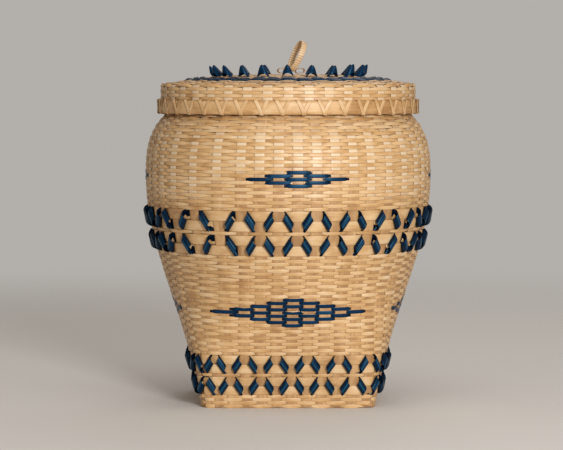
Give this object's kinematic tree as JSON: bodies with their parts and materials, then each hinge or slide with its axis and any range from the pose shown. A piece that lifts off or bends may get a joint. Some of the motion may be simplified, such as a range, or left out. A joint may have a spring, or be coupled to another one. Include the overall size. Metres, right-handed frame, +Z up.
{
  "type": "lidded splint basket",
  "caption": "Woven splint basket with a square foot, round shoulder, curled bands, a lift-off lid with a ring of curls and a tipping ring handle.",
  "frame": {"origin": "middle of the square foot, on the surface the basket stands on", "axes": "+Z up through the lid, -Y out of the front face, +X to the right of the front face"},
  "size_m": [0.2608, 0.2608, 0.3236],
  "materials": {
    "ash_splint": "dry smooth splint, natural ash",
    "ash_splint_pale": "smooth pale splint",
    "ash_splint_warm": "matt warm brown splint",
    "dyed_splint": "satin, dyed dark blue"
  },
  "bodies": {
    "basket": {"belly_wall": "ash_splint", "floor_mat": "ash_splint", "foot_wall": "ash_splint", "lower_curl_strip_1": "dyed_splint", "lower_curl_strip_2": "dyed_splint", "lower_uprights": "ash_splint_warm", "lower_wide_weaver_1": "ash_splint_pale", "lower_wide_weaver_2": "ash_splint_pale", "lower_wide_weaver_3": "ash_splint_pale", "lower_wide_weaver_4": "ash_splint_pale", "rim_inner_hoop": "ash_splint_warm", "rim_outer_hoop": "ash_splint_warm", "shoulder_wall": "ash_splint", "upper_curl_strip_1": "dyed_splint", "upper_curl_strip_2": "dyed_splint", "upper_uprights": "ash_splint_warm", "upper_wide_weaver_1": "ash_splint_pale", "upper_wide_weaver_2": "ash_splint_pale", "upper_wide_weaver_3": "ash_splint_pale", "upper_wide_weaver_4": "ash_splint_pale"},
    "lid": {"handle_strap": "ash_splint", "lid_curl_strip": "dyed_splint", "lid_dyed_weaver": "dyed_splint", "lid_inner_hoop": "ash_splint_warm", "lid_lashing": "ash_splint_warm", "lid_outer_hoop": "ash_splint_pale", "lid_top": "ash_splint", "lid_wall": "ash_splint"},
    "handle": {"handle_ring": "ash_splint_pale"}
  },
  "joints": [
    {"name": "lid_lift", "type": "slide", "parent": "basket", "child": "lid", "axis": [0, 0, 1], "range_m": [0, 0.1]},
    {"name": "handle_tilt", "type": "hinge", "parent": "lid", "child": "handle", "pos_m": [0.0027, 0, 0.29613], "axis": [-0.2756, 0.9613, 0], "range_deg": [-100, 60]}
  ]
}
